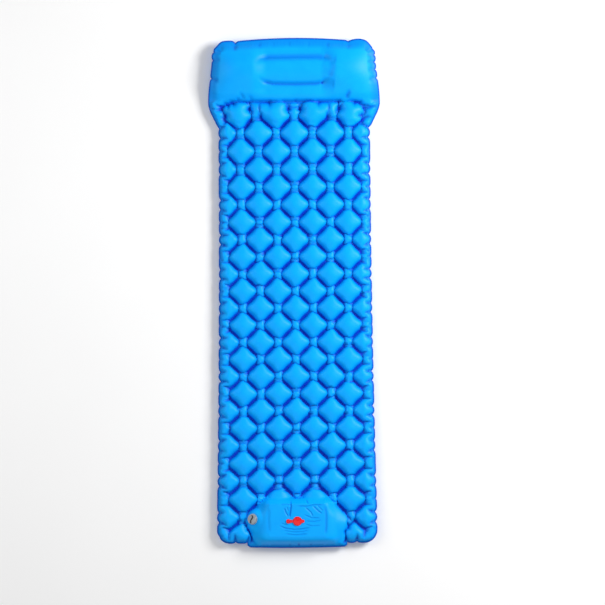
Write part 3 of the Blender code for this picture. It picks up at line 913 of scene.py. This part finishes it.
# ---------------------------------------------------------------- pieces


def add_piece(name, bm, finish):
    """An object in metres from a bmesh in millimetres, at the origin."""
    bmesh.ops.scale(bm, vec=(MM, MM, MM), verts=bm.verts)
    mesh = bpy.data.meshes.new(name)
    bm.to_mesh(mesh)
    bm.free()
    mesh.shade_smooth()
    mesh.materials.append(finish)
    made = bpy.data.objects.new(name, mesh)
    bpy.context.scene.collection.objects.link(made)
    return made


def prepared(bm):
    """Stores each vertex's painted shade and its smooth normal on the bmesh, for the split pieces."""
    whole = bpy.data.meshes.new("whole_skin")
    bm.to_mesh(whole)
    whole.shade_smooth()
    shade = cavity_shade(whole)
    normals = np.zeros(len(whole.vertices) * 3)
    whole.vertex_normals.foreach_get("vector", normals)
    depth = bm.verts.layers.float.new("shade")
    facing = bm.verts.layers.float_vector.new("facing")
    away = bm.verts.layers.float_vector["outward"]
    painted_crease_shade = bm.verts.layers.float.get("crease")
    for vert, amount, normal in zip(bm.verts, shade, normals.reshape(-1, 3), strict=True):
        # Painted shade along the creases adds to the grooves' painted shade.
        amount = max(amount, vert[painted_crease_shade]) if painted_crease_shade else amount
        # The seam band takes full navy, partly its own welded colour and partly painted shade; its
        # inner line takes SEAM_SHADE of painted shade.
        mark = Vector(vert[away]).length
        seam = 1.0 if mark > 1.5 else SEAM_SHADE
        vert[depth] = seam if mark > 0.5 else amount
        vert[facing] = normal
    bpy.data.meshes.remove(whole)
    return bm


def cut_piece(whole, name, belongs):
    """The part of the skin whose faces belong, with the whole skin's shading at its edges."""
    bm = whole.copy()
    others = [face for face in bm.faces if not belongs(face.calc_center_median())]
    bmesh.ops.delete(bm, geom=others, context="FACES")
    made = add_piece(name, bm, FABRIC)
    facing = made.data.attributes["facing"]
    normals = np.zeros(len(made.data.vertices) * 3)
    facing.data.foreach_get("vector", normals)
    made.data.normals_split_custom_set_from_vertices(normals.reshape(-1, 3).tolist())
    for spare in ("facing", "outward", "crease"):
        if spare in made.data.attributes:
            made.data.attributes.remove(made.data.attributes[spare])
    return made


def in_panel(p):
    """True on the pump's flat panel."""
    return abs(p.x) < PANEL_HALF_SIZE[0] and abs(p.y - PANEL_Y) < PANEL_HALF_SIZE[1]


def in_slopes(p):
    """True on the slopes round the panel."""
    within = abs(p.x) < SLOPE_OUTER_X and SLOPE_FOOT_Y < p.y < SLOPE_HEAD_Y
    return within and not in_panel(p)


def slope_of(p):
    """Which of the four mitred slopes round the panel a point is on."""
    across = (abs(p.x) - PANEL_HALF_SIZE[0]) / (SLOPE_OUTER_X - PANEL_HALF_SIZE[0])
    down = (PANEL_Y - PANEL_HALF_SIZE[1] - p.y) / (PANEL_Y - PANEL_HALF_SIZE[1] - SLOPE_FOOT_Y)
    up = (p.y - PANEL_Y - PANEL_HALF_SIZE[1]) / (SLOPE_HEAD_Y - PANEL_Y - PANEL_HALF_SIZE[1])
    if across > max(down, up):
        return "left" if p.x < 0 else "right"
    return "foot" if down > up else "head"


def in_bay_box(p):
    """True a little past the slopes' outer lines."""
    return abs(p.x) < SLOPE_OUTER_X + 8 and SLOPE_FOOT_Y - 4 < p.y < SLOPE_HEAD_Y + 8


def cut_along(bm, place, normal):
    """Cuts the pump bay's faces where a plane crosses them."""
    faces = [f for f in bm.faces if in_bay_box(f.calc_center_median())]
    edges = {e for f in faces for e in f.edges}
    verts = {v for f in faces for v in f.verts}
    geom = [*verts, *edges, *faces]
    bmesh.ops.bisect_plane(bm, geom=geom, dist=0.01, plane_co=place, plane_no=normal)


def cut_round_panel(bm):
    """Cuts the skin along the panel's outline, the slopes' outer lines and their mitres."""
    half_x, half_y = PANEL_HALF_SIZE
    for side in (-1, 1):
        cut_along(bm, (side * half_x, 0, 0), (1, 0, 0))
        cut_along(bm, (side * SLOPE_OUTER_X, 0, 0), (1, 0, 0))
        cut_along(bm, (0, PANEL_Y + side * half_y, 0), (0, 1, 0))
        cut_along(bm, (0, SLOPE_FOOT_Y if side < 0 else SLOPE_HEAD_Y, 0), (0, 1, 0))
    for side in (-1, 1):
        for end, outer_y in ((-1, SLOPE_FOOT_Y), (1, SLOPE_HEAD_Y)):
            corner = Vector((side * half_x, PANEL_Y + end * half_y, 0))
            outer = Vector((side * SLOPE_OUTER_X, outer_y, 0))
            run = outer - corner
            cut_along(bm, corner, (run.y, -run.x, 0))


fabric = Fabric()
upper = fabric.skin(fabric.points)
shape_details(upper)
add_seam_band(upper, 1)
cut_round_panel(upper)
pierce(upper, Vector((*INLET, PANEL_SKIN_Z)), Vector((0, 0, 1)), INLET_HOLE)
pierce(upper, RELEASE, RELEASE_AXIS, RELEASE_HOLE)
prepared(upper)

upper_skin = cut_piece(upper, "upper_skin", lambda p: not in_panel(p) and not in_slopes(p))
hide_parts("upper_sheet")
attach(upper_skin, "mat")
panel_skin = cut_piece(upper, "panel_skin", in_panel)
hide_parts("pump_panel")
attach(panel_skin, "pump_top")

SLOPES = {
    "left": ((-SLOPE_OUTER_X, PANEL_Y), (-PANEL_HALF_SIZE[0], PANEL_Y)),
    "right": ((SLOPE_OUTER_X, PANEL_Y), (PANEL_HALF_SIZE[0], PANEL_Y)),
    "foot": ((0, SLOPE_FOOT_Y), (0, PANEL_Y - PANEL_HALF_SIZE[1])),
    "head": ((0, SLOPE_HEAD_Y), (0, PANEL_Y + PANEL_HALF_SIZE[1])),
}
for side, (outer, inner) in SLOPES.items():
    skin = cut_piece(upper, f"slope_skin_{side}", lambda p, s=side: in_slopes(p) and slope_of(p) == s)
    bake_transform(skin)
upper.free()


# The underside bulges this much more than the top would, so that the floor can flatten it.
UNDER_SHARE = 1.2
FLOOR_SOFTNESS = 3.0


def lower_points():
    """The underside: the upper skin mirrored in the welds' plane, resting flat on the floor."""
    points = fabric.under.copy()
    rise = points[:, 2] - fabric.plane
    share = UNDER_SHARE - 0.1 * smooth((points[:, 1] - PILLOW_WELD_Y) / 60)
    z = fabric.plane - rise * share
    points[:, 2] = FLOOR_SOFTNESS * np.logaddexp(0.0, z / FLOOR_SOFTNESS)
    return points


lower = fabric.skin(lower_points())
bmesh.ops.reverse_faces(lower, faces=lower.faces)
add_seam_band(lower, -1)
prepared(lower)
lower_skin = cut_piece(lower, "lower_skin", lambda p: True)
lower.free()
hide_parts("lower_sheet")
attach(lower_skin, "mat")


# ---------------------------------------------------------------- inside the pump

SPONGE_SIZE = (188.0, 103.0)
SPONGE_BOTTOM = 29.6
SPONGE_TOP = 66.5
WELL_RADIUS = 17.0
WELL_DEPTH = 90.0
WELL_MIDDLE_Z = 60.0
POUCH_SIZE = (205.2, 117.2)
POUCH_CORNER = 15.0
POUCH_BOTTOM = 29.4
POUCH_TOP = 67.0
POUCH_FOLDS = 3
POUCH_FOLD_DEPTH = 0.6
POUCH_LEVELS = 12
POUCH_THICKNESS = 0.6
FLOOR_TOP = 29.0
TRANSFER = (62.0, -844.6)
TRANSFER_HOLE = 10.6


def soften(bm, edges, width, segments):
    """Rounds edges off."""
    bmesh.ops.bevel(
        bm,
        geom=edges,
        offset=width,
        offset_type="OFFSET",
        affect="EDGES",
        segments=segments,
        profile=0.5,
        material=-1,
        clamp_overlap=True,
    )


def rounded_block(size, corner, bottom, top, edge):
    """A block with round upright corners and softened edges."""
    bm = bmesh.new()
    bmesh.ops.create_cube(bm, size=1.0)
    bmesh.ops.scale(bm, vec=(size[0], size[1], top - bottom), verts=bm.verts)
    bmesh.ops.translate(bm, vec=(0, PANEL_Y, (top + bottom) / 2), verts=bm.verts)
    upright = [e for e in bm.edges if abs(e.verts[0].co.z - e.verts[1].co.z) > 1]
    soften(bm, upright, corner, 6)
    level = [e for e in bm.edges if abs(e.verts[0].co.z - e.verts[1].co.z) < 1e-4]
    rims = [e for e in level if any(abs(f.normal.z) > 0.9 for f in e.link_faces)]
    soften(bm, [e for e in rims if not all(abs(f.normal.z) > 0.9 for f in e.link_faces)], edge, 3)
    return bm


def sponge_block():
    """The open-cell block, with the round well that the inlet's neck reaches into."""
    bm = rounded_block(SPONGE_SIZE, 13.0, SPONGE_BOTTOM, SPONGE_TOP, 2.5)
    made = add_piece("sponge_block", bm, FOAM)
    drill = bmesh.new()
    bmesh.ops.create_cone(
        drill, cap_ends=True, segments=48, radius1=WELL_RADIUS, radius2=WELL_RADIUS, depth=WELL_DEPTH
    )
    bmesh.ops.translate(drill, vec=(*INLET, WELL_MIDDLE_Z), verts=drill.verts)
    tool = add_piece("well_drill", drill, FOAM)
    cut = made.modifiers.new("well", "BOOLEAN")
    cut.operation = "DIFFERENCE"
    cut.object = tool
    graph = bpy.context.evaluated_depsgraph_get()
    cut_mesh = bpy.data.meshes.new_from_object(made.evaluated_get(graph))
    made.modifiers.clear()
    made.data = cut_mesh
    made.data.set_sharp_from_angle(angle=math.radians(40))
    bpy.data.objects.remove(tool)
    return made


def pouch_wall_skin():
    """The pouch's side strip, with the soft folds that let it close up."""
    bm = bmesh.new()
    bmesh.ops.create_grid(bm, x_segments=1, y_segments=1, size=0.5)
    bmesh.ops.scale(bm, vec=(*POUCH_SIZE, 1), verts=bm.verts)
    bmesh.ops.translate(bm, vec=(0, PANEL_Y, POUCH_BOTTOM), verts=bm.verts)
    bmesh.ops.bevel(
        bm,
        geom=bm.verts[:],
        offset=POUCH_CORNER,
        offset_type="OFFSET",
        affect="VERTICES",
        segments=6,
        profile=0.5,
        material=-1,
    )
    sides = [e for e in bm.edges if e.calc_length() > 30]
    bmesh.ops.subdivide_edges(bm, edges=sides, cuts=15)
    rim = [e for e in bm.edges if e.is_boundary]
    faces = bm.faces[:]
    step = (POUCH_TOP - POUCH_BOTTOM) / POUCH_LEVELS
    for level in range(1, POUCH_LEVELS + 1):
        grown = bmesh.ops.extrude_edge_only(bm, edges=rim)["geom"]
        rim = [g for g in grown if isinstance(g, bmesh.types.BMEdge)]
        for vert in [g for g in grown if isinstance(g, bmesh.types.BMVert)]:
            vert.co.z = POUCH_BOTTOM + level * step
    bmesh.ops.delete(bm, geom=faces, context="FACES_ONLY")
    for vert in bm.verts:
        share = (vert.co.z - POUCH_BOTTOM) / (POUCH_TOP - POUCH_BOTTOM)
        fold = POUCH_FOLD_DEPTH * math.sin(share * math.tau * POUCH_FOLDS)
        fold *= math.sin(share * math.pi)
        out = Vector((vert.co.x / POUCH_SIZE[0], (vert.co.y - PANEL_Y) / POUCH_SIZE[1], 0))
        vert.co += out.normalized() * fold
    bmesh.ops.recalc_face_normals(bm, faces=bm.faces)
    bmesh.ops.solidify(bm, geom=bm.faces[:], thickness=POUCH_THICKNESS)
    return add_piece("pouch_wall_skin", bm, FABRIC)


def pouch_floor_skin():
    """The pouch's floor, with the hole for the transfer valve."""
    bm = bmesh.new()
    bmesh.ops.create_circle(bm, cap_ends=False, segments=40, radius=TRANSFER_HOLE)
    bmesh.ops.translate(bm, vec=(*TRANSFER, FLOOR_TOP), verts=bm.verts)
    inner = bm.edges[:]
    outline = bmesh.ops.create_circle(bm, cap_ends=False, segments=40, radius=1.0)["verts"]
    for vert in outline:
        reach = [size / 2 / max(abs(part), 1e-6) for size, part in zip(POUCH_SIZE, vert.co)]
        vert.co *= min(*reach)
        vert.co += Vector((0, PANEL_Y, FLOOR_TOP))
    outer = list({e for v in outline for e in v.link_edges})
    bmesh.ops.bridge_loops(bm, edges=inner + outer)
    ring = bm.edges[:]
    bmesh.ops.subdivide_edges(bm, edges=[e for e in ring if e.calc_length() > 25], cuts=8)
    bmesh.ops.triangulate(bm, faces=[f for f in bm.faces if len(f.verts) > 4])
    bmesh.ops.recalc_face_normals(bm, faces=bm.faces)
    if sum(f.normal.z for f in bm.faces) < 0:
        bmesh.ops.reverse_faces(bm, faces=bm.faces)
    bmesh.ops.solidify(bm, geom=bm.faces[:], thickness=POUCH_THICKNESS)
    return add_piece("pouch_floor_skin", bm, FABRIC)


sponge = sponge_block()
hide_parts("pump_sponge")
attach(sponge, "mat")
pouch_wall = pouch_wall_skin()
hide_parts("pouch_wall")
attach(pouch_wall, "mat")
pouch_floor = pouch_floor_skin()
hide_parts("pouch_floor")
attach(pouch_floor, "mat")
for piece, bottom in ((sponge, SPONGE_BOTTOM), (pouch_wall, POUCH_BOTTOM)):
    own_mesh(piece)


# ---------------------------------------------------------------- stage, light and camera

VIEW_CENTRE = (26.0, -35.5)
VIEW_WIDTH = 2258.5
CAMERA_HEIGHT = 20000.0
VIEW_TURN = math.radians(-0.44)
# Each lamp's bearing from the head and height above the floor in degrees, width and watts.
LAMPS = {
    "key": (66, 38, 1.6, 168),
    "left_fill": (-75, 42, 2.4, 42),
    "foot_fill": (190, 60, 2.4, 20),
}
LAMP_DISTANCE = 4.0
FLOOR_HALF_WIDTH = 9.0
WORLD_STRENGTH = 0.3


def add_floor():
    """A plain pale floor, wide enough to fill every view."""
    bm = bmesh.new()
    bmesh.ops.create_grid(bm, x_segments=8, y_segments=8, size=FLOOR_HALF_WIDTH)
    mesh = bpy.data.meshes.new("studio_floor")
    bm.to_mesh(mesh)
    bm.free()
    floor = bpy.data.objects.new("studio_floor", mesh)
    floor.location.z = -0.6 * MM
    bpy.context.scene.collection.objects.link(floor)
    made, tree, shader = new_material("matt_white_vinyl", {"Specular IOR Level": 0.1})
    surface_grain(tree, shader, ("#F6F6F6", "#FAFAFA"), 40.0, 0.1, (0.85, 0.95))
    mesh.materials.append(made)


def add_lamp(name, azimuth, height, size, watts):
    """A square soft light that faces the middle of the mat."""
    lamp = bpy.data.lights.new(name, "AREA")
    lamp.size = size
    lamp.energy = watts
    turn, rise = math.radians(azimuth), math.radians(height)
    toward = Vector((math.sin(turn) * math.cos(rise), math.cos(turn) * math.cos(rise), math.sin(rise)))
    made = bpy.data.objects.new(name, lamp)
    made.location = toward * LAMP_DISTANCE
    made.rotation_euler = (-toward).to_track_quat("-Z", "Y").to_euler()
    bpy.context.scene.collection.objects.link(made)


def add_camera():
    """Straight above the mat, with a long lens so that the sides stay parallel."""
    lens = bpy.data.cameras.new("overhead")
    lens.angle = 2 * math.atan(VIEW_WIDTH / 2 / CAMERA_HEIGHT)
    lens.clip_end = 100.0
    camera = bpy.data.objects.new("overhead", lens)
    camera.location = (VIEW_CENTRE[0] * MM, VIEW_CENTRE[1] * MM, CAMERA_HEIGHT * MM)
    camera.rotation_euler = (0.0, 0.0, VIEW_TURN)
    bpy.context.scene.collection.objects.link(camera)
    bpy.context.scene.camera = camera


add_floor()
add_camera()
for name, settings in LAMPS.items():
    add_lamp(name, *settings)
world = bpy.data.worlds.new("studio_white")
world.use_nodes = True
world.node_tree.nodes["Background"].inputs["Color"].default_value = linear("#FFFFFF")
world.node_tree.nodes["Background"].inputs["Strength"].default_value = WORLD_STRENGTH
bpy.context.scene.world = world
bpy.context.scene.view_settings.view_transform = "Standard"

bpy.context.view_layer.update()
